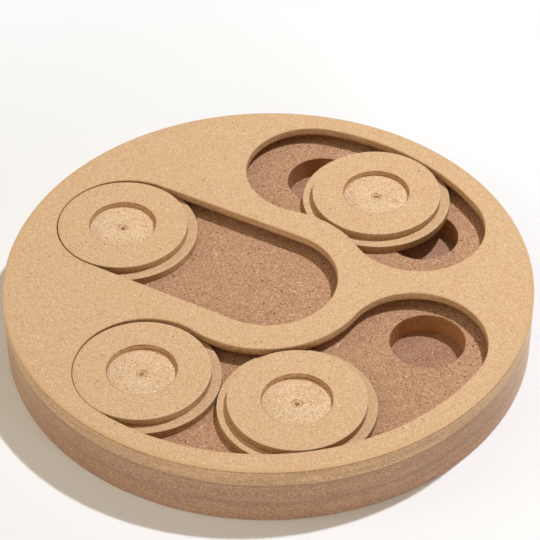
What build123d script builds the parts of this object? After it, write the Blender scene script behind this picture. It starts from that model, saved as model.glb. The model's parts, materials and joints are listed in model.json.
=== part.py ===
"""A round puzzle feeder: three glued fibreboards and four captive round sliders.

Millimetres, +Z up. The origin is the centre of the underside, on the surface that the toy stands on.
Angles are in degrees, anticlockwise from +X.
"""

from build123d import *

import os
from dataclasses import dataclass
from math import asin, degrees

# The three boards, glued in a stack.
BOARD_DIAMETER = 270.0
BASE_THICKNESS = 12.0
WELL_BOARD_THICKNESS = 12.0
TOP_THICKNESS = 10.0
TOP_EDGE_BREAK = 1.0
FOOT_EDGE_BREAK = 0.5

# The slots in the top board: an opening, and a wider channel under its lip that holds the sliders in.
SLOT_WIDTH = 71.0
LIP_THICKNESS = 4.5
CHANNEL_WIDTH = 82.0
SLOT_EDGE_BREAK = 0.6

# The wells for treats, drilled through the well board.
WELL_DIAMETER = 38.0

# A slider: a flange disc that runs under the lip, and a knob disc glued on it that shows in the slot.
FLANGE_DIAMETER = 78.0
FLANGE_THICKNESS = 4.5
FLANGE_GAP = 0.1
KNOB_DIAMETER = 68.0
KNOB_THICKNESS = 4.5
DISC_EDGE_BREAK = 0.4
RECESS_DIAMETER = 34.5
RECESS_DEPTH = 3.0
HUB_MARK_DIAMETER = 6.0
HUB_MARK_DEPTH = 0.3
SPUR_DIAMETER = 2.4
SPUR_DEPTH = 0.9

# Levels, from the underside up.
WELL_BOTTOM_Z = BASE_THICKNESS
FLOOR_Z = WELL_BOTTOM_Z + WELL_BOARD_THICKNESS
LIP_UNDERSIDE_Z = FLOOR_Z + TOP_THICKNESS - LIP_THICKNESS
KNOB_BASE_Z = FLOOR_Z + FLANGE_THICKNESS


@dataclass(frozen=True)
class StraightTrack:
    """A slot from the board's centre outwards, at an angle, with the distance between its round ends."""

    angle: float
    length: float

    def outline(self, width):
        """The slot's outline at a width."""
        return self.place(self.length / 2) * SlotCenterToCenter(self.length, width)

    def place(self, distance):
        """The place at a distance from the board's centre."""
        return Rot(0, 0, self.angle) * Pos(distance, 0, 0)


@dataclass(frozen=True)
class ArcTrack:
    """A slot along an arc: the arc's centre and radius, and the angles of its round ends about it."""

    centre: tuple
    radius: float
    start: float
    end: float

    def outline(self, width):
        """The slot's outline at a width."""
        return SlotArc(CenterArc(self.centre, self.radius, self.start, self.end - self.start), width)

    def place(self, angle, outwards=0.0):
        """The place at an angle about the arc's centre, some way outside the middle of the slot."""
        return Pos(*self.centre, 0) * Rot(0, 0, angle) * Pos(self.radius + outwards, 0, 0)

    def pitch(self, diameter, gap):
        """The angle between two equal discs that stand a gap apart on the track."""
        return 2 * degrees(asin((diameter + gap) / 2 / self.radius))


STRAIGHT = StraightTrack(angle=150.0, length=86.3)
SHORT_ARC = ArcTrack(centre=(-2.7, 0.3), radius=89.4, start=25.4, end=72.3)
LONG_ARC = ArcTrack(centre=(-1.3, 1.4), radius=89.3, start=-132.0, end=-34.1)
TRACKS = [STRAIGHT, SHORT_ARC, LONG_ARC]

# One well at the straight slot's far end, one at each end of the short arc, three along the long arc.
WELLS = [
    STRAIGHT.place(87.0),
    SHORT_ARC.place(26.3, 4.2),
    SHORT_ARC.place(69.3, 4.1),
    LONG_ARC.place(-26.3, 0.5),
    LONG_ARC.place(-78.1),
    LONG_ARC.place(-129.7),
]

# Where the sliders rest. The two in the long arc stand a hair apart.
LONG_ARC_REST = -132.5
SLIDERS = {
    "slider_1": STRAIGHT.place(87.5),
    "slider_2": SHORT_ARC.place(47.7, 0.9),
    "slider_3": LONG_ARC.place(LONG_ARC_REST, 0.9),
    "slider_4": LONG_ARC.place(LONG_ARC_REST + LONG_ARC.pitch(FLANGE_DIAMETER, FLANGE_GAP)),
}


def disc(diameter, thickness, z):
    """A plain round board on the axis, with its underside at z."""
    return Pos(0, 0, z) * extrude(Circle(diameter / 2), thickness)


def top_board():
    """The light top board, with three T-slots and eased edges."""
    board = disc(BOARD_DIAMETER, TOP_THICKNESS, FLOOR_Z)
    for track in TRACKS:
        board -= Pos(0, 0, FLOOR_Z) * extrude(track.outline(CHANNEL_WIDTH), LIP_UNDERSIDE_Z - FLOOR_Z)
        board -= Pos(0, 0, LIP_UNDERSIDE_Z) * extrude(track.outline(SLOT_WIDTH), LIP_THICKNESS)
    rim = board.edges().group_by(Axis.Z)[-1].filter_by(lambda edge: edge.is_closed)
    board = chamfer(rim, TOP_EDGE_BREAK)
    slot_edges = board.edges().group_by(Axis.Z)[-1].filter_by(lambda edge: not edge.is_closed)
    return chamfer(slot_edges, SLOT_EDGE_BREAK)


def well_board():
    """The brown middle board, drilled through with the wells."""
    board = disc(BOARD_DIAMETER, WELL_BOARD_THICKNESS, WELL_BOTTOM_Z)
    for place in WELLS:
        board -= place * disc(WELL_DIAMETER, WELL_BOARD_THICKNESS, WELL_BOTTOM_Z)
    return board


def base_board():
    """The plain brown base board, with its lower edge eased."""
    board = disc(BOARD_DIAMETER, BASE_THICKNESS, 0.0)
    return chamfer(board.edges().sort_by(Axis.Z)[0], FOOT_EDGE_BREAK)


def flange():
    """A slider's flange disc, with its upper edge broken."""
    plate = disc(FLANGE_DIAMETER, FLANGE_THICKNESS, FLOOR_Z)
    return chamfer(plate.edges().sort_by(Axis.Z)[-1], DISC_EDGE_BREAK)


def knob():
    """A slider's knob disc, with a drilled finger recess and the marks of the bit's hub and spur in it."""
    plate = disc(KNOB_DIAMETER, KNOB_THICKNESS, KNOB_BASE_Z)
    plate = chamfer(plate.edges().sort_by(Axis.Z)[-1], DISC_EDGE_BREAK)
    recess_floor_z = KNOB_BASE_Z + KNOB_THICKNESS - RECESS_DEPTH
    hub_mark_z = recess_floor_z - HUB_MARK_DEPTH
    plate -= disc(RECESS_DIAMETER, RECESS_DEPTH, recess_floor_z)
    plate -= disc(HUB_MARK_DIAMETER, HUB_MARK_DEPTH, hub_mark_z)
    spur = Cone(0, SPUR_DIAMETER / 2, SPUR_DEPTH, align=(Align.CENTER, Align.CENTER, Align.MAX))
    return plate - Pos(0, 0, hub_mark_z) * spur


def write(node, shape):
    """Write one node's STEP file."""
    export_step(shape, f"parts/{node}.step")


os.makedirs("parts", exist_ok=True)
write("top_board", top_board())
write("well_board", well_board())
write("base_board", base_board())
for slider, place in SLIDERS.items():
    write(f"{slider}_flange", place * flange())
    write(f"{slider}_knob", place * knob())
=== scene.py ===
"""A round puzzle feeder of glued fibreboard, with four captive sliders, dressed over its CAD frame.

Lengths are in millimetres and angles in degrees, +Z up, in the frame's own axes. A finished mesh is
scaled to the frame's metres. Every piece stands for the CAD node of its own name, has that node's
size and place, and adds what a workshop leaves on fibreboard: eased arrises, furry cuts, streaked
edges, torn recess floors and dust.
"""

import json
import logging
import math
from abc import ABC, abstractmethod
from collections.abc import Iterable, Sequence
from dataclasses import dataclass, field
from enum import Enum
from typing import ClassVar

import bmesh
import bpy
from bmesh.types import BMEdge, BMesh, BMFace, BMVert
from bpy.types import ID, Material, Node, NodeSocket, NodeTree, Object, World
from mathutils import Matrix, Vector, noise


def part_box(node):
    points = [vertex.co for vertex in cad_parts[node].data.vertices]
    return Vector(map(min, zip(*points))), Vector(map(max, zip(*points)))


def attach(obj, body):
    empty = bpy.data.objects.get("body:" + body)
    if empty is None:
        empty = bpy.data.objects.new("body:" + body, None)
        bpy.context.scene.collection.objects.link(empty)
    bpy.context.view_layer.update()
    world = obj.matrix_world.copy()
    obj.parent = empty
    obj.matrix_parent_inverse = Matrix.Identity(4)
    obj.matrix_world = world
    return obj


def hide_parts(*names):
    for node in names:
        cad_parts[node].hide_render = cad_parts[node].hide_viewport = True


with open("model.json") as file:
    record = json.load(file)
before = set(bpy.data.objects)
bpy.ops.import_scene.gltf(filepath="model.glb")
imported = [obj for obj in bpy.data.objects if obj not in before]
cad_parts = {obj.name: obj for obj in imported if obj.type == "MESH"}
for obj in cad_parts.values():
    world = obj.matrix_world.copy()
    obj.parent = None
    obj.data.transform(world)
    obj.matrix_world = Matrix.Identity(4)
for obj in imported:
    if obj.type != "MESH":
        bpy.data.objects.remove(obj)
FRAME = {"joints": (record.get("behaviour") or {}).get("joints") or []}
LOG = logging.getLogger("feeder")

MM = 0.001
UP = Vector((0.0, 0.0, 1.0))

# A vertex every so far along an arris, close enough for its fur to show.
ARRIS_STEP = 1.1
# The size of the fur's waves along an arris, the share of a rounding's own bulge that it strays,
# and the number that makes its noise the same in every run.
FRAY_LENGTH = 1.7
FRAY_SHARE = 0.7
FRAY_SEED = 27
# An edge that bends more than this keeps its crease in the shading.
SHARP_ANGLE = math.radians(32)
# How far apart rings stand while they are joined.
RING_LIFT = 100.0
# The mesh layer that says how worn the surface is.
WEAR_LAYER = "wear"


# ---------------------------------------------------------------- finishes

# The waves in which fibres bend, and how far these shift them.
BEND_LENGTH = 1.7
BEND_REACH = 1.3
# The size of the slow drift of tone. Each span below is in the values of its noise or its chance.
DRIFT_LENGTH = 14
DRIFT_SPAN = (0.4, 0.68)
# The press's layers. Their noise makes streaks up to half as thick as it is deep.
LAYER_LENGTH = 35
LAYER_DEPTH = 3
DARK_LAYER_SPAN = (0.5, 0.68)
PALE_LAYER_SPAN = (0.5, 0.34)
# Which fibre ends turn pale and which dark.
PALE_END_SPAN = (0.55, 1.0)
DARK_END_SPAN = (0.5, 0.0)
# A fibre's shortest length and its soft edge, as shares of the longest.
SHORTEST_FIBRE = 0.35
SOFT_EDGE = 0.35
# How abruptly fibres are chosen, and where they gather in patches.
CHOICE_STEP = 0.02
PATCH_SPAN = (0.42, 0.6)
# The gaps in the line of a rubbed arris, the wear at which it shows, and how strongly.
GAP_LENGTH = 1.8
RUB_SPAN = (0.1, 0.6)
RUB_STRENGTH = 0.9
# Resin and wood have the shader's own IOR of 1.5, but raw fibre scatters nearly all the light that
# falls on it, so little is left for a mirror. Its fur catches light from the side.
GLOSS = 0.1
FUR_ROUGHNESS = 0.45
FUR_TINT = "#FFEAD2"


def linear(colour: str) -> tuple[float, float, float, float]:
    """Turn an sRGB hex colour to linear.

    Args:
        colour: The colour as six hex digits, with or without a leading #.

    Returns:
        Red, green and blue, each from 0 to 1, and an alpha of 1.
    """
    digits = colour.lstrip("#")
    channels = [int(digits[i:i + 2], 16) / 255 for i in (0, 2, 4)]
    red, green, blue = [
        c / 12.92 if c <= 0.04045 else ((c + 0.055) / 1.055) ** 2.4 for c in channels
    ]
    return red, green, blue, 1.0


def per(length: float) -> float:
    """The texture scale that makes a pattern's cells a length in millimetres across."""
    return 1 / (length * MM)


def add_node(
    tree: NodeTree,
    kind: str,
    settings: dict[str, object] | None = None,
    inputs: dict[int | str, object] | None = None,
) -> Node:
    """Add a node, with its settings and its inputs.

    Args:
        tree: The node tree that it goes into.
        kind: Blender's name for the node's type.
        settings: The node's own properties.
        inputs: Its sockets, by name or number. Another node's output is linked, a value is set.

    Returns:
        The node.
    """
    node = tree.nodes.new(kind)
    for name, value in (settings or {}).items():
        setattr(node, name, value)
    for key, value in (inputs or {}).items():
        if isinstance(value, NodeSocket):
            tree.links.new(value, node.inputs[key])
        else:
            node.inputs[key].default_value = value
    return node


def blank_tree(owner: Material | World) -> NodeTree:
    """Give a material or a world an empty node tree.

    Args:
        owner: The material or the world.

    Returns:
        The tree.
    """
    owner.use_nodes = True
    owner.node_tree.nodes.clear()
    return owner.node_tree


def lay(
    tree: NodeTree,
    below: NodeSocket | tuple[float, ...],
    above: str,
    value: NodeSocket,
    span: tuple[float, float],
    most: NodeSocket | float,
) -> NodeSocket:
    """Lay a colour over another, more strongly as a value goes through a span.

    Args:
        tree: The node tree.
        below: The lower colour.
        above: The upper colour, as hex digits.
        value: The value.
        span: Where the upper colour starts to show, and where it shows most.
        most: How strongly it then shows, from 0 to 1.

    Returns:
        The socket with the mixed colour.
    """
    amount = add_node(
        tree,
        "ShaderNodeMapRange",
        {"interpolation_type": "SMOOTHSTEP"},
        {"Value": value, "From Min": span[0], "From Max": span[1], "To Max": most},
    )
    mixed = add_node(
        tree,
        "ShaderNodeMix",
        {"data_type": "RGBA"},
        {0: amount.outputs["Result"], 6: below, 7: linear(above)},
    )
    return mixed.outputs[2]


class Lie(Enum):
    """How fibres lie in a board, which is how their pattern is worked out."""

    # In the plane of the board's faces, as long fibres on them.
    FLAT = "2D"
    # Cut across, as specks on the board's edges.
    ACROSS = "3D"


@dataclass(frozen=True)
class Fibres:
    """Fibres, specks or pores of one kind in the board's surface, each at its own place and angle.

    Attributes:
        colour: Their colour.
        spacing: The distance between them.
        length: The length of the longest.
        width: Their width.
        share: The share of the places that hold one.
        strength: How strongly they show, from 0 to 1.
        patches: The size of the patches that they gather in, or 0 where they lie evenly.
    """

    colour: str
    spacing: float
    length: float
    width: float
    share: float
    strength: float
    patches: float = 0.0


@dataclass(frozen=True)
class Fibreboard:
    """Medium density fibreboard: steamed wood fibre pressed with resin, matt and faintly furry.

    The eye sees a fine grain of fibre ends, stray pale fibres, dark specks of bark, and a slow
    drift of tone from the press. Where the board is cut across, the layers of the press show as
    streaks along it. The arrises are rubbed. A fibre end is 0.1 mm across, too fine to show at a
    hand's distance, so the grain is drawn at 0.5 to 0.6 mm.

    Attributes:
        name: The material's name.
        body: The board's own colour.
        pale: The colour of its light fibre ends.
        deep: The colour of its dark fibre ends.
        tinge: The colour that the board drifts to.
        worn: The colour of a rubbed arris.
        lie: How its fibres lie.
        fibres: The kinds of fibre and speck in it, from the lowest to the uppermost.
        cell: The size of the grain.
        grain: How strongly the grain shows, from 0 to 1.
        drift: How strongly the slow drift of tone shows, from 0 to 1.
        streaks: How strongly the press's layers show, from 0 to 1.
        fur: The height of the raised fibres.
        sheen: How strongly the raised fibres catch the light from the side, from 0 to 1.
        roughness: The shader's roughness.
    """

    name: str
    body: str
    pale: str
    deep: str
    tinge: str
    worn: str
    lie: Lie
    fibres: tuple[Fibres, ...]
    cell: float = 0.6
    grain: float = 0.5
    drift: float = 0.4
    streaks: float = 0.0
    fur: float = 0.05
    sheen: float = 0.0
    roughness: float = 0.8

    def build(self) -> Material:
        """Make the material.

        Returns:
            The material, with all its nodes.
        """
        material = bpy.data.materials.new(self.name)
        tree = blank_tree(material)
        place = add_node(tree, "ShaderNodeTexCoord").outputs["Object"]
        bent = self.bend(tree, place)
        colour = self.drifting(tree, place)
        colour = self.layers(tree, bent, colour)
        colour, ends = self.fibre_ends(tree, bent, colour)
        for fibres in self.fibres:
            colour = self.scatter(tree, place, bent, colour, fibres)
        colour = self.rubbing(tree, place, colour)
        relief = add_node(
            tree,
            "ShaderNodeBump",
            inputs={"Strength": 1.0, "Distance": self.fur * MM, "Height": ends},
        )
        shader = add_node(
            tree,
            "ShaderNodeBsdfPrincipled",
            inputs={
                "Base Color": colour,
                "Normal": relief.outputs["Normal"],
                "Roughness": self.roughness,
                "Specular IOR Level": GLOSS,
                "Sheen Weight": self.sheen,
                "Sheen Roughness": FUR_ROUGHNESS,
                "Sheen Tint": linear(FUR_TINT),
            },
        )
        add_node(tree, "ShaderNodeOutputMaterial", inputs={"Surface": shader.outputs["BSDF"]})
        return material

    def bend(self, tree: NodeTree, place: NodeSocket) -> NodeSocket:
        """Shift a place by a few tenths of a millimetre, so that fibres bend and grains vary.

        Args:
            tree: The node tree.
            place: The place on the piece.

        Returns:
            The socket with the shifted place.
        """
        waves = add_node(
            tree,
            "ShaderNodeTexNoise",
            inputs={"Vector": place, "Scale": per(BEND_LENGTH), "Detail": 2.0},
        )
        centred = add_node(
            tree,
            "ShaderNodeVectorMath",
            {"operation": "SUBTRACT"},
            {0: waves.outputs["Color"], 1: (0.5, 0.5, 0.5)},
        )
        reach = BEND_REACH * MM
        shift = add_node(
            tree,
            "ShaderNodeVectorMath",
            {"operation": "MULTIPLY_ADD"},
            {0: centred.outputs["Vector"], 1: (reach, reach, reach), 2: place},
        )
        return shift.outputs["Vector"]

    def drifting(self, tree: NodeTree, place: NodeSocket) -> NodeSocket:
        """The board's colour, with its slow drift of tone.

        Args:
            tree: The node tree.
            place: The place on the piece.

        Returns:
            The socket with the colour.
        """
        slow = add_node(
            tree,
            "ShaderNodeTexNoise",
            inputs={"Vector": place, "Scale": per(DRIFT_LENGTH), "Detail": 3.0, "Roughness": 0.6},
        )
        return lay(
            tree, linear(self.body), self.tinge, slow.outputs["Fac"], DRIFT_SPAN, self.drift
        )

    def layers(self, tree: NodeTree, place: NodeSocket, colour: NodeSocket) -> NodeSocket:
        """Lay the streaks of the press's layers over a colour. A streak is up to 1.5 mm thick.

        Args:
            tree: The node tree.
            place: The place on the piece.
            colour: The colour below.

        Returns:
            The socket with the colour.
        """
        if self.streaks == 0:
            return colour
        along = per(LAYER_LENGTH)
        across = per(LAYER_DEPTH)
        flat = add_node(
            tree, "ShaderNodeMapping", inputs={"Vector": place, "Scale": (along, along, across)}
        )
        streak = add_node(
            tree,
            "ShaderNodeTexNoise",
            inputs={
                "Vector": flat.outputs["Vector"],
                "Scale": 1.0,
                "Detail": 3.0,
                "Roughness": 0.6,
            },
        )
        level = streak.outputs["Fac"]
        dark = lay(tree, colour, self.deep, level, DARK_LAYER_SPAN, self.streaks)
        return lay(tree, dark, self.pale, level, PALE_LAYER_SPAN, self.streaks)

    def fibre_ends(
        self, tree: NodeTree, place: NodeSocket, colour: NodeSocket
    ) -> tuple[NodeSocket, NodeSocket]:
        """Lay the grain of fibre ends over a colour, each end with a tone of its own.

        Args:
            tree: The node tree.
            place: The place on the piece.
            colour: The colour below.

        Returns:
            The socket with the colour, and the one with the ends' heights.
        """
        cells = add_node(
            tree,
            "ShaderNodeTexVoronoi",
            {"feature": "F1"},
            {"Vector": place, "Scale": per(self.cell)},
        )
        chance = add_node(tree, "ShaderNodeSeparateColor", inputs={"Color": cells.outputs["Color"]})
        tone = chance.outputs["Red"]
        pale = lay(tree, colour, self.pale, tone, PALE_END_SPAN, self.grain)
        deep = lay(tree, pale, self.deep, tone, DARK_END_SPAN, self.grain)
        return deep, chance.outputs["Green"]

    def scatter(
        self,
        tree: NodeTree,
        place: NodeSocket,
        bent: NodeSocket,
        colour: NodeSocket,
        fibres: Fibres,
    ) -> NodeSocket:
        """Scatter fibres of one kind over a colour.

        Args:
            tree: The node tree.
            place: The place on the piece.
            bent: The same, shifted so that the fibres bend.
            colour: The colour below.
            fibres: The kind.

        Returns:
            The socket with the colour.
        """
        cells = add_node(
            tree,
            "ShaderNodeTexVoronoi",
            {"feature": "F1", "voronoi_dimensions": self.lie.value},
            {"Vector": bent, "Scale": per(fibres.spacing)},
        )
        chance = add_node(
            tree, "ShaderNodeSeparateColor", inputs={"Color": cells.outputs["Color"]}
        )
        smooth = {"interpolation_type": "SMOOTHSTEP"}
        rest = 1 - fibres.share
        choice = {"From Min": rest, "From Max": rest + CHOICE_STEP, "To Max": fibres.strength}
        shown = add_node(
            tree, "ShaderNodeMapRange", smooth, {"Value": chance.outputs["Blue"], **choice}
        )
        if fibres.patches:
            gathering = add_node(
                tree,
                "ShaderNodeTexNoise",
                inputs={"Vector": place, "Scale": per(fibres.patches), "Detail": 1.0},
            )
            low, high = PATCH_SPAN
            patch = {"From Min": low, "From Max": high, "To Max": shown.outputs["Result"]}
            shown = add_node(
                tree, "ShaderNodeMapRange", smooth, {"Value": gathering.outputs["Fac"], **patch}
            )
        depth = self.inside(tree, bent, cells, chance, fibres)
        return lay(
            tree, colour, fibres.colour, depth, (0.0, SOFT_EDGE), shown.outputs["Result"]
        )

    def inside(
        self, tree: NodeTree, bent: NodeSocket, cells: Node, chance: Node, fibres: Fibres
    ) -> NodeSocket:
        """Tell how deep inside a fibre a place lies.

        Args:
            tree: The node tree.
            bent: The place on the piece, shifted so that the fibres bend.
            cells: The cells of the pattern, each with a fibre on its point.
            chance: Each cell's chances: one turns its fibre, and one gives it a length.
            fibres: The kind.

        Returns:
            The socket with the depth, as a share of the longest fibre: 0 at the outline and less
            than 0 outside.
        """
        # The way from the fibre's middle. On a face it has no height.
        way = add_node(
            tree,
            "ShaderNodeVectorMath",
            {"operation": "SUBTRACT"},
            {0: bent, 1: cells.outputs["Position"]},
        )
        if self.lie is Lie.FLAT:
            way = add_node(
                tree,
                "ShaderNodeVectorMath",
                {"operation": "MULTIPLY"},
                {0: way.outputs["Vector"], 1: (1, 1, 0)},
            )
        angle = add_node(
            tree,
            "ShaderNodeMath",
            {"operation": "MULTIPLY"},
            {0: chance.outputs["Red"], 1: 2 * math.pi},
        )
        turned = add_node(
            tree,
            "ShaderNodeVectorRotate",
            {"rotation_type": "Z_AXIS"},
            {"Vector": way.outputs["Vector"], "Angle": angle.outputs["Value"]},
        )
        along = per(fibres.length / 2)
        across = per(fibres.width / 2)
        scaled = add_node(
            tree,
            "ShaderNodeVectorMath",
            {"operation": "MULTIPLY"},
            {0: turned.outputs["Vector"], 1: (along, across, across)},
        )
        reach = add_node(
            tree, "ShaderNodeVectorMath", {"operation": "LENGTH"}, {0: scaled.outputs["Vector"]}
        )
        size = add_node(
            tree,
            "ShaderNodeMapRange",
            inputs={"Value": chance.outputs["Green"], "To Min": SHORTEST_FIBRE, "To Max": 1.0},
        )
        depth = add_node(
            tree,
            "ShaderNodeMath",
            {"operation": "SUBTRACT"},
            {0: size.outputs["Result"], 1: reach.outputs["Value"]},
        )
        return depth.outputs["Value"]

    def rubbing(self, tree: NodeTree, place: NodeSocket, colour: NodeSocket) -> NodeSocket:
        """Lay the line of a rubbed arris over a colour, broken up along its length.

        Args:
            tree: The node tree.
            place: The place on the piece.
            colour: The colour below.

        Returns:
            The socket with the colour.
        """
        wear = add_node(tree, "ShaderNodeAttribute", {"attribute_name": WEAR_LAYER})
        broken = add_node(
            tree,
            "ShaderNodeTexNoise",
            inputs={"Vector": place, "Scale": per(GAP_LENGTH), "Detail": 2.0, "Roughness": 0.7},
        )
        patchy = add_node(
            tree,
            "ShaderNodeMath",
            {"operation": "MULTIPLY"},
            {0: wear.outputs["Fac"], 1: broken.outputs["Fac"]},
        )
        return lay(tree, colour, self.worn, patchy.outputs["Value"], RUB_SPAN, RUB_STRENGTH)


class Finish(Enum):
    """The finishes of the toy's surfaces."""

    # The top board and the sliders: pale MDF, sanded smooth.
    PALE_FACE = Fibreboard(
        name="mdf_pale_sanded",
        body="#DEB78D",
        pale="#F0D3AC",
        deep="#C99C70",
        tinge="#DBB287",
        worn="#D9B084",
        lie=Lie.FLAT,
        fibres=(
            Fibres("#B98756", 1.3, 0.9, 0.4, 0.5, 0.5),
            Fibres("#F6E0BF", 1.9, 1.4, 0.28, 0.4, 0.35),
            Fibres("#8C5A30", 2.1, 0.7, 0.5, 0.35, 0.7),
            Fibres("#A9713F", 2.6, 1.8, 0.32, 0.3, 0.55),
            Fibres("#6B3A16", 6.0, 1.1, 0.8, 0.25, 0.9),
        ),
        cell=0.5,
        grain=0.6,
        drift=0.45,
    )
    # The same board where it is cut across: greyer and browner, with the press's layers.
    PALE_EDGE = Fibreboard(
        name="mdf_pale_milled_edge",
        body="#C09A76",
        pale="#D2AE88",
        deep="#A27C57",
        tinge="#B29274",
        worn="#8F6742",
        lie=Lie.ACROSS,
        fibres=(
            Fibres("#82603F", 1.5, 0.8, 0.6, 0.4, 0.65),
            Fibres("#E9D2AF", 1.8, 1.1, 0.5, 0.4, 0.5),
            Fibres("#5E412C", 5.0, 1.0, 0.9, 0.35, 0.8),
        ),
        grain=0.7,
        streaks=0.5,
        fur=0.08,
        sheen=0.35,
        roughness=0.85,
    )
    # The slots' floor and the brown boards' hidden faces: raw brown MDF with pores, dust and loose
    # fibres.
    BROWN_FACE = Fibreboard(
        name="mdf_brown_raw",
        body="#C79A77",
        pale="#DDB592",
        deep="#A27453",
        tinge="#BE8B6C",
        worn="#A87C5E",
        lie=Lie.FLAT,
        fibres=(
            Fibres("#8A5B41", 1.2, 0.95, 0.55, 0.5, 0.6),
            Fibres("#E7C6A2", 1.5, 1.3, 0.34, 0.5, 0.65),
            Fibres("#4E2E1C", 2.2, 0.8, 0.6, 0.36, 0.95),
            Fibres("#42200F", 4.2, 1.3, 1.0, 0.46, 0.95),
            Fibres("#9C5230", 4.5, 1.6, 0.8, 0.25, 0.6),
            Fibres("#F8E8CF", 3.0, 2.6, 0.34, 0.55, 0.85, patches=16.0),
            Fibres("#FFF3E0", 8.0, 5.2, 0.4, 0.33, 0.9),
        ),
        cell=0.5,
        grain=0.85,
        drift=0.5,
        fur=0.08,
        roughness=0.86,
    )
    # The wells' bottoms: the same board, greyer and darker.
    DARKER_GREY_FACE = Fibreboard(
        name="mdf_brown_greyer",
        body="#BA8E70",
        pale="#D2AA8C",
        deep="#966C52",
        tinge="#AE8068",
        worn="#9A7058",
        lie=Lie.FLAT,
        fibres=(
            Fibres("#7F5440", 1.2, 0.95, 0.55, 0.45, 0.5),
            Fibres("#DDC0A6", 1.6, 1.3, 0.34, 0.5, 0.6),
            Fibres("#8E4626", 5.5, 1.6, 1.0, 0.35, 0.8),
            Fibres("#FBEFDF", 3.4, 2.6, 0.34, 0.5, 0.85, patches=12.0),
        ),
        cell=0.5,
        grain=0.7,
        drift=0.6,
        fur=0.08,
        roughness=0.86,
    )
    # The brown boards where they are sawn across.
    BROWN_EDGE = Fibreboard(
        name="mdf_brown_sawn_edge",
        body="#A98265",
        pale="#C09A7B",
        deep="#8C664C",
        tinge="#A07A68",
        worn="#8D7262",
        lie=Lie.ACROSS,
        fibres=(
            Fibres("#75503A", 1.3, 0.8, 0.6, 0.45, 0.7),
            Fibres("#DDBB98", 1.6, 0.9, 0.5, 0.4, 0.6),
            Fibres("#4C3122", 6.0, 1.0, 0.9, 0.35, 0.8),
        ),
        cell=0.5,
        grain=0.85,
        drift=0.7,
        streaks=0.35,
        fur=0.08,
        sheen=0.5,
        roughness=0.88,
    )
    # The walls that the cutter left in the pale board: browner and more saturated than its rim,
    # with the press's layers. The extra brown is partly their own and partly painted shade.
    MILLED_SHADED_WALL = Fibreboard(
        name="mdf_pale_wall_milled_painted_shade",
        body="#C29B71",
        pale="#D8B68C",
        deep="#94704C",
        tinge="#B2895C",
        worn="#76522F",
        lie=Lie.ACROSS,
        fibres=(
            Fibres("#7F5833", 1.5, 0.8, 0.5, 0.45, 0.6),
            Fibres("#E3C79E", 1.8, 1.0, 0.4, 0.4, 0.5),
        ),
        grain=0.45,
        streaks=0.5,
        roughness=0.85,
    )
    # The wells' walls and the channels under the lips: cut edges, darkened to a deep brown as
    # painted shade.
    SHADE_DARKENED_WALL = Fibreboard(
        name="mdf_wall_painted_shade",
        body="#BE8C60",
        pale="#D2A47A",
        deep="#8C5F3C",
        tinge="#A6744A",
        worn="#946846",
        lie=Lie.ACROSS,
        fibres=(Fibres("#6B452B", 1.4, 0.8, 0.5, 0.45, 0.5),),
        grain=0.45,
        streaks=0.3,
        roughness=0.85,
    )
    # The arrises of the discs, rubbed pale where they are handled and slide, and a painted
    # highlight along them.
    RUBBED_HIGHLIGHT_ARRIS = Fibreboard(
        name="mdf_arris_rubbed_and_painted_highlight",
        body="#DCC39E",
        pale="#E9D8B8",
        deep="#BD9C72",
        tinge="#D0B088",
        worn="#E0CBA8",
        lie=Lie.ACROSS,
        fibres=(Fibres("#B08A60", 1.6, 0.9, 0.6, 0.4, 0.5),),
        roughness=0.75,
    )
    # The finger recesses' floors: torn up by the bit, woolly and flecked.
    TORN_FLOOR = Fibreboard(
        name="mdf_pale_bored",
        body="#EFCBA2",
        pale="#F7E3C6",
        deep="#CB9A6C",
        tinge="#DEB184",
        worn="#A06A3A",
        lie=Lie.FLAT,
        fibres=(
            Fibres("#B9824C", 1.7, 1.5, 0.5, 0.55, 0.6),
            Fibres("#FFF4DE", 1.8, 1.6, 0.45, 0.5, 0.6),
            Fibres("#A5541F", 3.0, 1.4, 0.8, 0.36, 0.75),
            Fibres("#FFF8EA", 5.5, 3.5, 0.4, 0.35, 0.7),
        ),
        grain=0.6,
        fur=0.12,
        roughness=0.9,
    )


# ---------------------------------------------------------------- outlines


def box_of(node: str) -> tuple[Vector, Vector]:
    """The lowest and the highest corner of a CAD node's box, in millimetres."""
    low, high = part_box(node)
    return Vector(low) / MM, Vector(high) / MM


def arc_centre(joint: str) -> Vector:
    """The centre of an arc slot, about which its slider's joint turns, seen from above."""
    found = next(item for item in FRAME["joints"] if item["name"] == joint)
    return Vector((found["pos_m"][0], found["pos_m"][1], 0.0)) / MM


class Outline(ABC):
    """A closed outline that can be drawn again at any distance outside itself."""

    @abstractmethod
    def draw(self, pen: BMesh, offset: float, z: float) -> None:
        """Draw the outline as a ring of vertices and edges.

        Args:
            pen: An empty mesh, which it is drawn in.
            offset: How far outside the outline the ring lies.
            z: Its height.
        """

    def ring(self, bm: BMesh, offset: float, z: float) -> list[BMVert]:
        """Draw the outline and add it to a mesh.

        Args:
            bm: The mesh.
            offset: How far outside the outline the ring lies.
            z: Its height.

        Returns:
            The ring's vertices.
        """
        pen = bmesh.new()
        self.draw(pen, offset, z)
        sheet = bpy.data.meshes.new("ring")
        pen.to_mesh(sheet)
        pen.free()
        before = set(bm.verts)
        bm.from_mesh(sheet)
        bpy.data.meshes.remove(sheet)
        return [vert for vert in bm.verts if vert not in before]


@dataclass(frozen=True)
class Circle(Outline):
    """A circle.

    Attributes:
        centre: Its centre, seen from above.
        radius: Its radius.
        steps: How many edges it has.
    """

    centre: Vector
    radius: float
    steps: int = 122

    def draw(self, pen: BMesh, offset: float, z: float) -> None:
        """Draw the circle, as Outline.draw says."""
        place = Matrix.Translation((self.centre.x, self.centre.y, z))
        bmesh.ops.create_circle(pen, radius=self.radius + offset, segments=self.steps, matrix=place)


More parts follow.
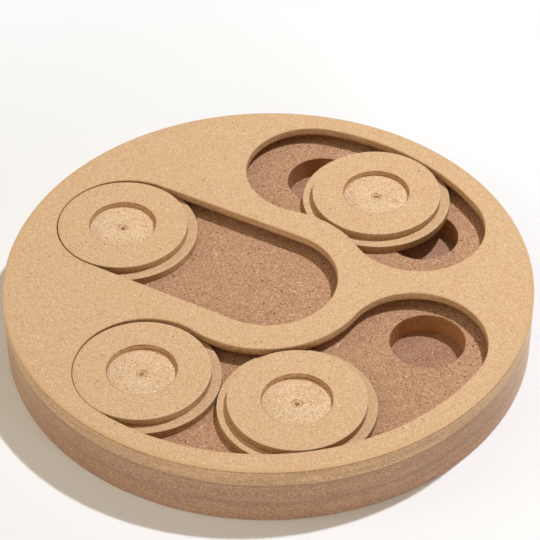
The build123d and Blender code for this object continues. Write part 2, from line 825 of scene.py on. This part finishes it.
@dataclass(frozen=True)
class Move:
    """A stretch of an outline: a turn about a point, or a straight run.

    Attributes:
        steps: How many edges it has.
        centre: The point that it turns about.
        angle: How far it turns, anticlockwise where positive.
        way: The direction and length of a straight run.
    """

    steps: int
    centre: Vector = field(default_factory=Vector)
    angle: float = 0.0
    way: Vector = field(default_factory=Vector)


class Slot(Outline):
    """The outline that a round cutter leaves when it follows a path.

    Attributes:
        half_width: Half the slot's width.
    """

    half_width: float

    @abstractmethod
    def start(self, reach: float) -> Vector:
        """The outline's first point, at a distance from the path."""

    @abstractmethod
    def moves(self) -> list[Move]:
        """The stretches of the outline, in order."""

    def draw(self, pen: BMesh, offset: float, z: float) -> None:
        """Draw the slot, one stretch after another.

        Args:
            pen: An empty mesh, which it is drawn in.
            offset: How far outside the outline the ring lies.
            z: Its height.
        """
        first = tip = pen.verts.new(self.start(self.half_width + offset) + z * UP)
        for move in self.moves():
            made = bmesh.ops.spin(
                pen,
                geom=[tip],
                cent=move.centre,
                axis=UP,
                dvec=move.way / move.steps,
                angle=move.angle,
                steps=move.steps,
                use_duplicate=False,
            )
            tip = made["geom_last"][0]
        # The last stretch comes back to the first point.
        bmesh.ops.weld_verts(pen, targetmap={tip: first})


@dataclass(frozen=True)
class ArcSlot(Slot):
    """A slot along an arc.

    Attributes:
        centre: The arc's centre.
        radius: The arc's radius.
        first_angle: The angle of the slot's first end about the centre, in degrees.
        last_angle: The angle of its last end.
        half_width: Half the slot's width.
    """

    centre: Vector
    radius: float
    first_angle: float
    last_angle: float
    half_width: float

    def end(self, angle: float, out: float = 0.0) -> Vector:
        """A point at an angle, some way outside the middle of the slot."""
        turn = Matrix.Rotation(math.radians(angle), 3, UP)
        return self.centre + turn @ Vector((self.radius + out, 0.0, 0.0))

    def start(self, reach: float) -> Vector:
        """The point on the outer side, at the first end."""
        return self.end(self.first_angle, reach)

    def moves(self) -> list[Move]:
        """Go along the outer side, round the last end, back along the inner side, round the first.

        Returns:
            The four stretches.
        """
        sweep = math.radians(self.last_angle - self.first_angle)
        outer = round((self.radius + self.half_width) * sweep / ARRIS_STEP)
        inner = round((self.radius - self.half_width) * sweep / ARRIS_STEP)
        half_turn = round(self.half_width * math.pi / ARRIS_STEP)
        return [
            Move(outer, self.centre, sweep),
            Move(half_turn, self.end(self.last_angle), math.pi),
            Move(inner, self.centre, -sweep),
            Move(half_turn, self.end(self.first_angle), math.pi),
        ]


@dataclass(frozen=True)
class StraightSlot(Slot):
    """A straight slot.

    Attributes:
        near_end: The centre of its first round end.
        way: The direction and distance to the centre of its other end.
        half_width: Half the slot's width.
    """

    near_end: Vector
    way: Vector
    half_width: float

    def start(self, reach: float) -> Vector:
        """The point on the right-hand side, at the first end."""
        return self.near_end + reach * self.way.normalized().cross(UP)

    def moves(self) -> list[Move]:
        """Go along the right-hand side, round the far end, back, round the near end.

        Returns:
            The four stretches.
        """
        along = round(self.way.length / ARRIS_STEP)
        half_turn = round(self.half_width * math.pi / ARRIS_STEP)
        return [
            Move(along, way=self.way),
            Move(half_turn, self.near_end + self.way, math.pi),
            Move(along, way=-self.way),
            Move(half_turn, self.near_end, math.pi),
        ]


# ---------------------------------------------------------------- profiles


@dataclass(frozen=True)
class Station:
    """One line of a piece's profile, followed all round an outline.

    Attributes:
        offset: How far outside the outline it lies.
        z: Its height.
        finish: The finish of the band that leads up to it.
        wear: How worn the surface is there, from 0 to 1.
        fray: How far its points stray from the line.
    """

    offset: float
    z: float
    finish: Finish
    wear: float = 0.0
    fray: float = 0.0


class Way(Enum):
    """A direction along a profile."""

    OUT = Vector((1.0, 0.0))
    IN = Vector((-1.0, 0.0))
    RISE = Vector((0.0, 1.0))
    FALL = Vector((0.0, -1.0))


@dataclass(frozen=True)
class Run:
    """A straight stretch of a profile.

    Attributes:
        way: Its direction.
        finish: Its finish.
    """

    way: Way
    finish: Finish


@dataclass(frozen=True)
class Arris:
    """An eased corner of a profile.

    Attributes:
        radius: The radius that it is eased to.
        finish: Its finish.
        wear: How worn it is, from 0 to 1.
        rub: How far the wear reaches beyond it.
        steps: The number of bands in the rounding.
    """

    radius: float
    finish: Finish
    wear: float = 1.0
    rub: float = 0.6
    steps: int = 3

    def turn(self, offset: float, z: float, before: Run, after: Run) -> list[Station]:
        """The stations round the corner, with an unworn one on either side.

        Args:
            offset: The sharp corner's offset from the outline.
            z: The sharp corner's height.
            before: The stretch before the corner.
            after: The stretch after it.

        Returns:
            The stations, worn and frayed.
        """
        corner = Vector((offset, z))
        come = before.way.value
        leave = after.way.value
        reach = self.radius + self.rub
        first = corner - reach * come
        last = corner + reach * leave
        middle = corner + self.radius * (leave - come)
        made = [Station(first.x, first.y, before.finish)]
        quarter = math.pi / 2
        fray = FRAY_SHARE * self.radius * (1 - math.cos(quarter / self.steps))
        for i in range(self.steps + 1):
            angle = i / self.steps * quarter
            place = middle + self.radius * (math.sin(angle) * come - math.cos(angle) * leave)
            finish = self.finish if i else before.finish
            # The first and the last line may lie on the piece's box, so only the others are frayed.
            inner = 0 < i < self.steps
            made.append(Station(place.x, place.y, finish, self.wear, fray if inner else 0.0))
        made.append(Station(last.x, last.y, after.finish))
        return made


# ---------------------------------------------------------------- pieces


def add_object(name: str, data: ID) -> Object:
    """Add an object to the scene, at the origin.

    Args:
        name: Its name.
        data: Its mesh, camera or lamp.

    Returns:
        The object.
    """
    made = bpy.data.objects.new(name, data)
    bpy.context.scene.collection.objects.link(made)
    return made


class Workshop:
    """The finishes made so far, so that each material is made once.

    Attributes:
        shelf: The material of each finish.
    """

    shelf: ClassVar[dict[Finish, Material]] = {}

    @classmethod
    def material(cls, finish: Finish) -> Material:
        """The material of a finish.

        Args:
            finish: The finish.

        Returns:
            Its material, made at the first call.
        """
        if finish not in cls.shelf:
            cls.shelf[finish] = finish.value.build()
        return cls.shelf[finish]


@dataclass
class Piece:
    """A piece of the toy in the making.

    Attributes:
        node: The CAD node that it stands for.
        body: The CAD body that it rides on.
        slot: The record's material slot. It is not used.
        bm: Its mesh.
        finishes: The finishes used so far, in the order of the mesh's material numbers.
    """

    node: str
    body: str
    slot: str
    bm: BMesh = field(default_factory=bmesh.new)
    finishes: list[Finish] = field(default_factory=list)

    def __post_init__(self) -> None:
        """Give the mesh its layer of wear."""
        self.bm.verts.layers.float.new(WEAR_LAYER)

    def skin(
        self, outline: Outline, profile: Sequence[Station]
    ) -> tuple[list[BMEdge], list[BMEdge]]:
        """Draw an outline at each station of a profile and join each ring to the next.

        Args:
            outline: The outline.
            profile: The profile's stations, in order.

        Returns:
            The edges of the first ring and of the last.
        """
        # Rings in one plane don't tell the operator which way to turn, so they are joined while
        # they stand far apart, and put in their places after that.
        rings = [
            outline.ring(self.bm, station.offset, i * RING_LIFT)
            for i, station in enumerate(profile)
        ]
        # A dict keeps each ring's edges once and in order.
        loops = [
            list(dict.fromkeys(edge for vert in ring for edge in vert.link_edges))
            for ring in rings
        ]
        for one, other, station in zip(loops, loops[1:], profile[1:]):
            made = bmesh.ops.bridge_loops(self.bm, edges=one + other)
            self.paint(made["faces"], station.finish)
        layer = self.bm.verts.layers.float[WEAR_LAYER]
        for ring, station in zip(rings, profile):
            for vert in ring:
                vert.co.z = station.z
                vert[layer] = station.wear
                if station.fray:
                    vert.co += station.fray * noise.noise_vector(vert.co / FRAY_LENGTH)
        return loops[0], loops[-1]

    def fill(self, loops: Iterable[list[BMEdge]], finish: Finish) -> None:
        """Close the flat area between loops of edges.

        Args:
            loops: The loops that bound the area.
            finish: Its finish.
        """
        edges = [edge for loop in loops for edge in loop]
        made = bmesh.ops.triangle_fill(
            self.bm, use_beauty=True, use_dissolve=False, edges=edges, normal=UP
        )
        self.paint([item for item in made["geom"] if isinstance(item, BMFace)], finish)

    def paint(self, faces: Iterable[BMFace], finish: Finish) -> None:
        """Give faces a finish.

        Args:
            faces: The faces.
            finish: The finish.
        """
        if finish not in self.finishes:
            self.finishes.append(finish)
        number = self.finishes.index(finish)
        for face in faces:
            face.material_index = number

    def done(self) -> Object:
        """Turn the mesh into an object that stands for the node and rides on its body.

        Returns:
            The object.
        """
        bmesh.ops.recalc_face_normals(self.bm, faces=self.bm.faces)
        for face in self.bm.faces:
            face.smooth = True
        for edge in self.bm.edges:
            edge.smooth = edge.calc_face_angle(0.0) < SHARP_ANGLE
        bmesh.ops.scale(self.bm, vec=(MM, MM, MM), verts=self.bm.verts)
        mesh = bpy.data.meshes.new(self.node)
        self.bm.to_mesh(mesh)
        self.bm.free()
        for finish in self.finishes:
            mesh.materials.append(Workshop.material(finish))
        made = add_object(f"{self.node}_dressed", mesh)
        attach(made, self.body)
        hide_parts(self.node)
        LOG.info("%s: %d faces", made.name, len(mesh.polygons))
        return made


@dataclass
class Stack:
    """The three boards, glued in a stack.

    Attributes:
        slot_width: The width of a slot's opening.
        channel_width: The width of the channel under its lip.
        lip: The lip's thickness.
        straight_angle: The direction of the straight slot.
        straight_length: The distance between the centres of its round ends.
        short_arc_radius: The radius of the short arc.
        short_arc_ends: The angles of the centres of its round ends.
        long_arc_radius: The radius of the long arc.
        long_arc_ends: The angles of the centres of its round ends.
        well_radius: The radius of a well.
        straight_well: The distance of the straight slot's well from the board's centre.
        short_arc_wells: The angle of each of the short arc's wells, and how far it stands outside
            the arc.
        long_arc_wells: The same for the long arc's wells.
        rim_steps: How many edges a board's rim has.
        lower_break: The bevel of the top board's lower edge.
        lower_rub: How far the wear reaches above that edge.
        top_edge: The top board's upper edge.
        foot_edge: The edge that the toy stands on.
        glue_line: The brown boards' edges where they are glued.
        slot_edge: A slot's upper edge.
        well_edge: A well's upper edge.
    """

    slot_width: float = 71.0
    channel_width: float = 82.0
    lip: float = 4.5
    straight_angle: float = 150.0
    straight_length: float = 86.3
    short_arc_radius: float = 89.4
    short_arc_ends: tuple[float, float] = (25.4, 72.3)
    long_arc_radius: float = 89.3
    long_arc_ends: tuple[float, float] = (-132.0, -34.1)
    well_radius: float = 19.0
    straight_well: float = 87.0
    short_arc_wells: tuple[tuple[float, float], ...] = ((26.3, 4.2), (69.3, 4.1))
    long_arc_wells: tuple[tuple[float, float], ...] = ((-26.3, 0.5), (-78.1, 0.0), (-129.7, 0.0))
    rim_steps: int = 720
    lower_break: float = 0.1
    lower_rub: float = 1.0
    top_edge: Arris = Arris(0.9, Finish.PALE_FACE, wear=1.0, rub=1.5, steps=4)
    foot_edge: Arris = Arris(0.5, Finish.BROWN_EDGE, wear=0.6, rub=1.2)
    glue_line: Arris = Arris(0.02, Finish.BROWN_EDGE, wear=0.85, rub=3.4, steps=1)
    slot_edge: Arris = Arris(0.7, Finish.PALE_FACE, wear=0.55, rub=0.7)
    well_edge: Arris = Arris(0.25, Finish.BROWN_FACE, wear=0.6)

    def slots(self) -> tuple[StraightSlot, ArcSlot, ArcSlot]:
        """The slots in the top board.

        Returns:
            The straight one, the short arc and the long arc.
        """
        half = self.slot_width / 2
        turn = Matrix.Rotation(math.radians(self.straight_angle), 3, UP)
        short_centre = arc_centre("slider_2_arc")
        long_centre = arc_centre("slider_4_arc")
        return (
            StraightSlot(Vector(), turn @ Vector((self.straight_length, 0, 0)), half),
            ArcSlot(short_centre, self.short_arc_radius, *self.short_arc_ends, half),
            ArcSlot(long_centre, self.long_arc_radius, *self.long_arc_ends, half),
        )

    def wells(self) -> list[Circle]:
        """The wells' outlines.

        Returns:
            The one at the end of the straight slot, then the short arc's and the long arc's.
        """
        straight, short_arc, long_arc = self.slots()
        places = [straight.way.normalized() * self.straight_well]
        places += [short_arc.end(angle, out) for angle, out in self.short_arc_wells]
        places += [long_arc.end(angle, out) for angle, out in self.long_arc_wells]
        return [Circle(place, self.well_radius) for place in places]

    def rim(self, node: str) -> Circle:
        """The rim of a board, from its node's box."""
        low, high = box_of(node)
        return Circle(Vector(), min(high.x, high.y, -low.x, -low.y), self.rim_steps)

    def top_board(self) -> Object:
        """Build the pale top board, with its T-slots.

        Returns:
            The piece.
        """
        low, high = box_of("top_board")
        piece = Piece("top_board", "board", "top_board")
        under_lip = high.z - self.lip
        channel = (self.channel_width - self.slot_width) / 2
        # Painted shade: some on the lip's wall, and a darker channel under the lip.
        cut = Run(Way.RISE, Finish.MILLED_SHADED_WALL)
        slot_profile = [
            Station(channel, low.z, Finish.SHADE_DARKENED_WALL),
            Station(channel, under_lip, Finish.SHADE_DARKENED_WALL),
            Station(0.0, under_lip, Finish.SHADE_DARKENED_WALL, wear=0.5, fray=0.05),
            *self.slot_edge.turn(0.0, high.z, cut, Run(Way.OUT, Finish.PALE_FACE)),
        ]
        rim_profile = [
            Station(-self.lower_break, low.z, Finish.PALE_EDGE),
            Station(0.0, low.z + self.lower_break, Finish.PALE_EDGE, wear=0.2),
            Station(0.0, low.z + self.lower_rub, Finish.PALE_EDGE),
            *self.top_edge.turn(
                0.0, high.z, Run(Way.RISE, Finish.PALE_EDGE), Run(Way.IN, Finish.PALE_FACE)
            ),
        ]
        loops = [piece.skin(slot, slot_profile) for slot in self.slots()]
        loops.append(piece.skin(self.rim("top_board"), rim_profile))
        piece.fill([upper for _, upper in loops], Finish.PALE_FACE)
        piece.fill([lower for lower, _ in loops], Finish.PALE_EDGE)
        return piece.done()

    def well_board(self) -> Object:
        """Build the brown board that the wells go through.

        Returns:
            The piece.
        """
        low, high = box_of("well_board")
        piece = Piece("well_board", "board", "well_board")
        wall = Run(Way.RISE, Finish.BROWN_EDGE)
        # The wells' walls are darkened as painted shade.
        well_profile = [
            Station(0.0, low.z, Finish.SHADE_DARKENED_WALL),
            *self.well_edge.turn(
                0.0, high.z, Run(Way.RISE, Finish.SHADE_DARKENED_WALL), Run(Way.OUT, Finish.BROWN_FACE)
            ),
        ]
        rim_profile = [
            *self.glue_line.turn(0.0, low.z, Run(Way.OUT, Finish.BROWN_FACE), wall),
            *self.glue_line.turn(0.0, high.z, wall, Run(Way.IN, Finish.BROWN_FACE)),
        ]
        loops = [piece.skin(well, well_profile) for well in self.wells()]
        loops.append(piece.skin(self.rim("well_board"), rim_profile))
        piece.fill([upper for _, upper in loops], Finish.BROWN_FACE)
        piece.fill([lower for lower, _ in loops], Finish.BROWN_FACE)
        return piece.done()

    def base_board(self) -> Object:
        """Build the brown board that the toy stands on.

        Returns:
            The piece.
        """
        low, high = box_of("base_board")
        piece = Piece("base_board", "board", "base_board")
        wall = Run(Way.RISE, Finish.BROWN_EDGE)
        profile = [
            *self.foot_edge.turn(0.0, low.z, Run(Way.OUT, Finish.BROWN_FACE), wall),
            *self.glue_line.turn(0.0, high.z, wall, Run(Way.IN, Finish.BROWN_FACE)),
        ]
        lower, upper = piece.skin(self.rim("base_board"), profile)
        piece.fill([lower], Finish.BROWN_FACE)
        # The wells' bottoms: greyer and darker than the board's other faces.
        piece.fill([upper], Finish.DARKER_GREY_FACE)
        return piece.done()


@dataclass
class Slider:
    """A slider: a flange disc that runs under the lip, and a knob disc with a finger recess.

    Attributes:
        name: The CAD body's name.
        recess_radius: The radius of the finger recess.
        recess_depth: Its depth.
        hub_mark_radius: The radius of the mark of the bit's hub.
        hub_mark_depth: Its depth.
        hub_slope: The width of the torn slope at its edge.
        spur_radius: The radius of the mark of the bit's spur.
        spur_depth: Its depth.
        spur_slopes: How far its flank has come in, halfway down and at the bottom.
        tear: How far the torn floor of the recess strays from flat.
        disc_steps: How many edges a disc has.
        floor_rings: How many rings the torn floor has.
        disc_edge: A disc's edge.
        mouth: The recess's upper edge.
    """

    name: str
    recess_radius: float = 17.25
    recess_depth: float = 3.0
    hub_mark_radius: float = 3.0
    hub_mark_depth: float = 0.3
    hub_slope: float = 0.5
    spur_radius: float = 1.2
    spur_depth: float = 0.9
    spur_slopes: tuple[float, float] = (0.6, 1.1)
    tear: float = 0.3
    disc_steps: int = 220
    floor_rings: int = 26
    # The discs' pale arrises are rubbed wear with a painted highlight.
    disc_edge: Arris = Arris(0.35, Finish.RUBBED_HIGHLIGHT_ARRIS, wear=0.6, rub=0.4)
    mouth: Arris = Arris(0.4, Finish.TORN_FLOOR, wear=1.0, rub=0.45, steps=2)

    def disc(self, node: str) -> Circle:
        """The outline of one of the slider's discs, from its node's box.

        Args:
            node: The disc's CAD node.

        Returns:
            The outline.
        """
        low, high = box_of(node)
        middle = (low + high) / 2
        radius = min(high.x - low.x, high.y - low.y) / 2
        return Circle(Vector((middle.x, middle.y, 0.0)), radius, self.disc_steps)

    def flange(self) -> Object:
        """Build the flange disc.

        Returns:
            The piece.
        """
        node = f"{self.name}_flange"
        low, high = box_of(node)
        piece = Piece(node, self.name, "flange")
        # The disc's wall carries some painted shade.
        wall = Run(Way.RISE, Finish.MILLED_SHADED_WALL)
        profile = [
            *self.disc_edge.turn(0.0, low.z, Run(Way.OUT, Finish.PALE_FACE), wall),
            *self.disc_edge.turn(0.0, high.z, wall, Run(Way.IN, Finish.PALE_FACE)),
        ]
        lower, upper = piece.skin(self.disc(node), profile)
        piece.fill([upper], Finish.PALE_FACE)
        piece.fill([lower], Finish.PALE_FACE)
        return piece.done()

    def knob(self) -> Object:
        """Build the knob disc, with its recess.

        Returns:
            The piece.
        """
        node = f"{self.name}_knob"
        low, high = box_of(node)
        piece = Piece(node, self.name, "knob")
        disc = self.disc(node)
        # The knob's wall and the recess's wall carry some painted shade.
        profile = [
            Station(0.0, low.z, Finish.MILLED_SHADED_WALL, wear=0.6),
            *self.disc_edge.turn(
                0.0, high.z, Run(Way.RISE, Finish.MILLED_SHADED_WALL), Run(Way.IN, Finish.PALE_FACE)
            ),
            *self.recess(self.recess_radius - disc.radius, high.z),
        ]
        lower, point = piece.skin(disc, profile)
        piece.fill([lower], Finish.PALE_FACE)
        piece.fill([point], Finish.TORN_FLOOR)
        return piece.done()

    def recess(self, wall: float, top: float) -> list[Station]:
        """The profile of the recess: its frayed mouth, wall and torn floor, and the bit's marks.

        Args:
            wall: The wall's offset from the knob's outline.
            top: The height of the knob's face.

        Returns:
            The stations, from the face inwards to the point of the spur mark.
        """
        torn = Finish.TORN_FLOOR
        floor = top - self.recess_depth
        hub_floor = floor - self.hub_mark_depth
        hub_edge = wall - self.recess_radius + self.hub_mark_radius
        spur_edge = wall - self.recess_radius + self.spur_radius
        halfway, point = self.spur_slopes
        width = self.recess_radius - self.hub_mark_radius
        rings = [
            Station(wall - width * i / self.floor_rings, floor, torn, fray=self.tear)
            for i in range(1, self.floor_rings)
        ]
        # The recess's wall carries some painted shade.
        return [
            *self.mouth.turn(
                wall, top, Run(Way.IN, Finish.PALE_FACE), Run(Way.FALL, Finish.MILLED_SHADED_WALL)
            ),
            # A darker line where the recess's wall meets its floor.
            Station(wall, floor, Finish.MILLED_SHADED_WALL, wear=0.5),
            *rings,
            Station(hub_edge, floor, torn, wear=0.3, fray=0.45),
            Station(hub_edge - self.hub_slope, hub_floor, torn, wear=1.0, fray=0.45),
            Station((hub_edge + spur_edge) / 2, hub_floor, torn, wear=0.15, fray=0.4),
            Station(spur_edge, hub_floor, torn, wear=0.8, fray=0.25),
            Station(spur_edge - halfway, hub_floor - 0.5 * self.spur_depth, torn, wear=1.0),
            Station(spur_edge - point, hub_floor - self.spur_depth, torn, wear=1.0),
        ]


# ---------------------------------------------------------------- studio

WHITE = (1.0, 1.0, 1.0, 1.0)
PAPER = (0.96, 0.96, 0.96, 1.0)


def towards(azimuth: float, elevation: float) -> Vector:
    """The direction from the toy to something at an azimuth and an elevation, in degrees."""
    level = Matrix.Rotation(math.radians(azimuth), 3, "Z") @ Vector((1.0, 0.0, 0.0))
    return level * math.cos(math.radians(elevation)) + UP * math.sin(math.radians(elevation))


def seen(tree: NodeTree) -> NodeSocket:
    """Tell what the camera sees, straight, in a reflection or through glass, from other light.

    Args:
        tree: The node tree.

    Returns:
        A socket that is 1 for what is seen and 0 for other light.
    """
    path = add_node(tree, "ShaderNodeLightPath").outputs
    larger = {"operation": "MAXIMUM"}
    rays = {0: path["Is Camera Ray"], 1: path["Is Glossy Ray"]}
    straight = add_node(tree, "ShaderNodeMath", larger, rays)
    through = {0: straight.outputs[0], 1: path["Is Transmission Ray"]}
    return add_node(tree, "ShaderNodeMath", larger, through).outputs[0]


@dataclass(frozen=True)
class Lamp:
    """A round lamp.

    Attributes:
        azimuth: Where it hangs, anticlockwise from +X, in degrees.
        elevation: Its height above the horizon, in degrees.
        distance: Its distance from the toy, in metres. A near one falls off across the toy.
        radius: Its own radius, in metres, which softens the shadows' edges.
        power: Its power, in watts.
    """

    azimuth: float
    elevation: float
    distance: float
    radius: float
    power: float

    def hang(self, name: str, colour: str) -> None:
        """Hang the lamp.

        Args:
            name: Its name.
            colour: Its colour.
        """
        data = bpy.data.lights.new(name, "POINT")
        data.energy = self.power
        data.color = linear(colour)[:3]
        data.shadow_soft_size = self.radius
        add_object(name, data).location = self.distance * towards(self.azimuth, self.elevation)


@dataclass
class Studio:
    """A plain white floor in a warm white room that is brighter on one side, with cool lamps.

    Lengths are in metres here, and the camera's own in millimetres.

    Attributes:
        aim: The point that the camera looks at.
        eye: The camera's place.
        roll: The camera's turn about its own line of sight, in degrees.
        lens: The camera's focal length.
        sensor: The width of its sensor.
        clip: The nearest and the farthest distance that it sees.
        floor_size: The side of the floor.
        fade: The distances from the middle of the floor between which it fades into white.
        key: A small high lamp, behind the toy and to the right.
        side: A large soft lamp on the left.
        fills: Two lamps in front of the toy, so low that they don't shine under the lips.
        lamp_colour: The lamps' colour, as cool as the room is warm, so that both make white.
        sky_strength: The mean strength of the light from all sides.
        sky_colour: Its colour: warm, as it comes off the walls of a room.
        window_azimuth: The side that more of that light comes from.
        window_share: How much stronger it is from there, and weaker from the other side.
    """

    aim: Vector = field(default_factory=lambda: Vector((1.01, 5.04, 34.0)) * MM)
    eye: Vector = field(default_factory=lambda: Vector((0.0, -859.3, 814.1)) * MM)
    roll: float = -0.676
    lens: float = 151.99
    sensor: float = 36.0
    clip: tuple[float, float] = (0.05, 50.0)
    floor_size: float = 12.0
    fade: tuple[float, float] = (0.17, 0.42)
    key: Lamp = Lamp(azimuth=30.0, elevation=66.0, distance=1.3, radius=0.03, power=48.5)
    side: Lamp = Lamp(azimuth=185.0, elevation=26.0, distance=2.0, radius=0.45, power=20.0)
    fills: tuple[Lamp, ...] = (
        Lamp(azimuth=-135.0, elevation=7.0, distance=0.9, radius=0.08, power=4.0),
        Lamp(azimuth=-50.0, elevation=7.0, distance=0.9, radius=0.08, power=9.6),
    )
    lamp_colour: str = "#EFF5FF"
    sky_strength: float = 0.365
    sky_colour: str = "#FFEECC"
    window_azimuth: float = -170.0
    window_share: float = 0.9

    def camera(self) -> None:
        """Set up the camera."""
        data = bpy.data.cameras.new("camera")
        data.lens = self.lens
        data.sensor_width = self.sensor
        data.clip_start, data.clip_end = self.clip
        camera = add_object("camera", data)
        aimed = (self.aim - self.eye).to_track_quat("-Z", "Y").to_matrix().to_4x4()
        rolled = aimed @ Matrix.Rotation(math.radians(self.roll), 4, "Z")
        camera.matrix_world = Matrix.Translation(self.eye) @ rolled
        bpy.context.scene.camera = camera

    def floor(self) -> None:
        """Lay the floor: matt white paper, which takes the toy's shadow and fades to white."""
        bm = bmesh.new()
        bmesh.ops.create_grid(bm, x_segments=1, y_segments=1, size=self.floor_size / 2)
        mesh = bpy.data.meshes.new("floor")
        bm.to_mesh(mesh)
        bm.free()
        material = bpy.data.materials.new("white_paper")
        tree = blank_tree(material)
        place = add_node(tree, "ShaderNodeTexCoord").outputs["Object"]
        distance = add_node(tree, "ShaderNodeVectorMath", {"operation": "LENGTH"}, {0: place})
        near, far = self.fade
        fading = add_node(
            tree,
            "ShaderNodeMapRange",
            {"interpolation_type": "SMOOTHSTEP"},
            {"Value": distance.outputs["Value"], "From Min": near, "From Max": far},
        )
        amount = add_node(
            tree,
            "ShaderNodeMath",
            {"operation": "MULTIPLY"},
            {0: fading.outputs["Result"], 1: seen(tree)},
        )
        paper = add_node(tree, "ShaderNodeBsdfDiffuse", inputs={"Color": PAPER})
        white = add_node(tree, "ShaderNodeEmission", inputs={"Color": WHITE, "Strength": 1.0})
        both = {0: amount.outputs["Value"], 1: paper.outputs["BSDF"], 2: white.outputs["Emission"]}
        mixed = add_node(tree, "ShaderNodeMixShader", inputs=both)
        add_node(tree, "ShaderNodeOutputMaterial", inputs={"Surface": mixed.outputs["Shader"]})
        mesh.materials.append(material)
        add_object("floor", mesh)

    def sky(self) -> None:
        """Light the room, more from one side, with white walls wherever they are seen."""
        world = bpy.data.worlds.new("studio")
        bpy.context.scene.world = world
        tree = blank_tree(world)
        way = add_node(tree, "ShaderNodeTexCoord").outputs["Generated"]
        window = {0: way, 1: towards(self.window_azimuth, 0.0)}
        turned = add_node(tree, "ShaderNodeVectorMath", {"operation": "DOT_PRODUCT"}, window)
        strength = add_node(
            tree,
            "ShaderNodeMapRange",
            inputs={
                "Value": turned.outputs["Value"],
                "From Min": -1.0,
                "To Min": self.sky_strength * (1 - self.window_share),
                "To Max": self.sky_strength * (1 + self.window_share),
            },
        )
        room = {"Color": linear(self.sky_colour), "Strength": strength.outputs["Result"]}
        light = add_node(tree, "ShaderNodeBackground", inputs=room)
        wall = add_node(tree, "ShaderNodeBackground", inputs={"Color": WHITE, "Strength": 1.0})
        both = {0: seen(tree), 1: light.outputs[0], 2: wall.outputs[0]}
        mixed = add_node(tree, "ShaderNodeMixShader", inputs=both)
        add_node(tree, "ShaderNodeOutputWorld", inputs={"Surface": mixed.outputs[0]})

    def build(self) -> None:
        """Set up the whole studio."""
        self.camera()
        self.floor()
        self.key.hang("key", self.lamp_colour)
        self.side.hang("side", self.lamp_colour)
        for fill in self.fills:
            fill.hang("fill", self.lamp_colour)
        self.sky()
        bpy.context.scene.view_settings.view_transform = "Standard"


def main() -> None:
    """Build the toy and the studio, and log each dressed piece's faces."""
    logging.basicConfig(level=logging.INFO, format="%(name)s: %(message)s")
    noise.seed_set(FRAY_SEED)
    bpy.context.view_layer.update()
    Studio().build()
    stack = Stack()
    stack.base_board()
    stack.well_board()
    stack.top_board()
    for number in (1, 2, 3, 4):
        slider = Slider(f"slider_{number}")
        slider.flange()
        slider.knob()


if __name__ == "__main__":
    main()
